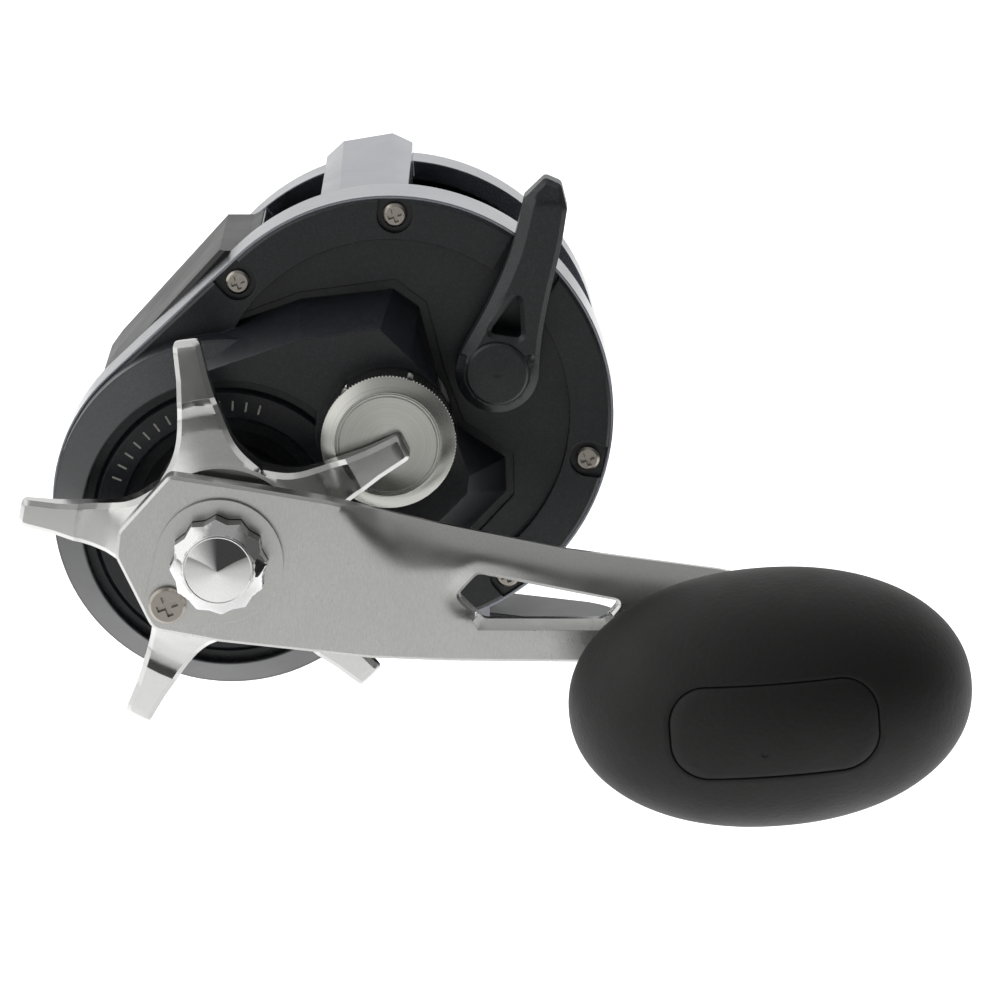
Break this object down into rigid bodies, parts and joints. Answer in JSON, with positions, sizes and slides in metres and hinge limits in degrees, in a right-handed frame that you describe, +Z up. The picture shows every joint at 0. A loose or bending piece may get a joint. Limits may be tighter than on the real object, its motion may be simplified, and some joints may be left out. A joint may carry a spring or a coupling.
{
  "type": "trolling reel",
  "caption": "Round-frame overhead trolling reel with a star drag, power handle, free-spool lever, cast control, clicker and a full internal drag and gear train",
  "frame": {"origin": "centre of the foot's underside, where the reel sits on the rod", "axes": "+X towards the rod tip, +Y towards the left side plate (the handle side is -Y), +Z up away from the rod"},
  "size_m": [0.1602, 0.1393, 0.0968],
  "materials": {
    "frame_metal": "gunmetal anodised, gloss",
    "plate_blue": "charcoal blue metallic satin with fine flake",
    "black_plastic": "satin black moulded plastic",
    "steel": "ground stainless steel",
    "nickel": "dull nickel plate, slightly warm",
    "gear_brass": "machined brass",
    "drag_carbon": "woven carbon drag washer",
    "soft_rubber": "soft black rubber",
    "grip_rubber": "matte black rubber with a fine leather-like grain",
    "satin_alloy": "satin polished aluminium with bright chamfers",
    "brushed_alloy": "satin silver anodised aluminium",
    "turned_alloy": "turned aluminium, radial sheen",
    "bright_chrome": "polished chrome",
    "spool_alloy": "dark anodised aluminium",
    "lever_charcoal": "charcoal satin metallic"
  },
  "bodies": {
    "reel_body": {"frame": "frame_metal", "palm_rest": "black_plastic", "reel_foot": "plate_blue", "foot_screws": "steel", "right_side_plate": "plate_blue", "side_plate_screws": "nickel", "bridge_plate": "steel", "bridge_screws": "steel", "yoke_posts": "steel", "yoke_springs": "steel", "drive_bearing": "steel", "pinion_bearing": "steel", "right_spool_bearing": "steel", "left_spool_bearing": "steel", "roller_clutch": "steel", "shaft_seal": "soft_rubber", "pawl_pin": "steel", "control_ring": "soft_rubber", "left_side_plate": "plate_blue", "left_plate_screws": "nickel"},
    "crank": {"drive_shaft": "steel", "ratchet_wheel": "steel", "drive_gear": "gear_brass", "carbon_washers": "drag_carbon", "keyed_washer": "steel", "eared_washer": "steel", "pressure_plate": "steel", "drive_sleeve": "steel", "spring_washers": "steel", "handle_spacer": "steel", "handle_arm": "brushed_alloy", "handle_nut": "bright_chrome", "nut_retainer": "brushed_alloy", "retainer_screw": "nickel", "knob_spindle": "steel", "knob_screw": "steel"},
    "star": {"star_drag": "satin_alloy", "star_nut": "steel", "star_click": "steel"},
    "knob": {"knob_grip": "grip_rubber", "knob_core": "black_plastic", "knob_bearings": "steel"},
    "pawl": {"ratchet_pawl": "steel"},
    "yoke": {"yoke": "black_plastic"},
    "pinion": {"pinion": "gear_brass"},
    "cam": {"clutch_cam": "steel"},
    "lever": {"clutch_lever": "lever_charcoal", "lever_shaft": "steel", "lever_cap": "lever_charcoal"},
    "spool": {"spool": "spool_alloy", "spool_shaft": "steel", "drive_pin": "steel", "click_ratchet": "steel"},
    "cast_control": {"cast_control_knob": "turned_alloy", "control_shim": "steel"},
    "click_button": {"click_button": "black_plastic", "click_spring": "steel"},
    "click_pawl": {"click_pawl": "steel"}
  },
  "joints": [
    {"name": "handle_crank", "type": "hinge", "parent": "reel_body", "child": "crank", "pos_m": [-0.0279, -0.037, 0.0289], "axis": [0, -1, 0], "continuous": true},
    {"name": "star_drag", "type": "hinge", "parent": "crank", "child": "star", "pos_m": [-0.0279, -0.052, 0.0289], "axis": [0, -1, 0], "range_deg": [-120, 60]},
    {"name": "knob_spin", "type": "hinge", "parent": "crank", "child": "knob", "pos_m": [0.0636, -0.087, 0.012], "axis": [0, -1, 0], "continuous": true},
    {"name": "ratchet_pawl", "type": "hinge", "parent": "reel_body", "child": "pawl", "pos_m": [-0.03049, -0.0208, 0.01048], "axis": [0, -1, 0], "range_deg": [-10, 4]},
    {"name": "clutch_lever", "type": "hinge", "parent": "reel_body", "child": "lever", "pos_m": [0.0184, -0.027, 0.054], "axis": [0, -1, 0], "range_deg": [-30, 0]},
    {"name": "clutch_cam", "type": "hinge", "parent": "reel_body", "child": "cam", "pos_m": [0, -0.023, 0.045], "axis": [0, -1, 0], "range_deg": [0, 15.5]},
    {"name": "yoke_lift", "type": "slide", "parent": "reel_body", "child": "yoke", "axis": [0, -1, 0], "range_m": [0, 0.00242], "deforming": ["yoke_springs"]},
    {"name": "pinion_spin", "type": "hinge", "parent": "yoke", "child": "pinion", "pos_m": [0, -0.024, 0.045], "axis": [0, -1, 0], "continuous": true},
    {"name": "spool_spin", "type": "hinge", "parent": "reel_body", "child": "spool", "pos_m": [0, 0, 0.045], "axis": [0, -1, 0], "continuous": true},
    {"name": "cast_control", "type": "hinge", "parent": "reel_body", "child": "cast_control", "pos_m": [0, -0.044, 0.045], "axis": [0, -1, 0], "range_deg": [-90, 90]},
    {"name": "click_button", "type": "slide", "parent": "reel_body", "child": "click_button", "axis": [-1, 0, 0], "range_m": [0, 0.004]},
    {"name": "click_pawl", "type": "hinge", "parent": "click_button", "child": "click_pawl", "pos_m": [0.02, 0.0178, 0.045], "axis": [0, -1, 0], "range_deg": [-15, 15], "stiffness_Nm_per_rad": 0.002}
  ],
  "couplings": [
    {"joint": "spool_spin", "follows": "handle_crank", "ratio": -6.3},
    {"joint": "pinion_spin", "follows": "handle_crank", "ratio": -6.3},
    {"joint": "clutch_cam", "follows": "clutch_lever", "ratio": -0.494},
    {"joint": "yoke_lift", "follows": "clutch_lever", "m_per_rad": -0.0045837}
  ]
}
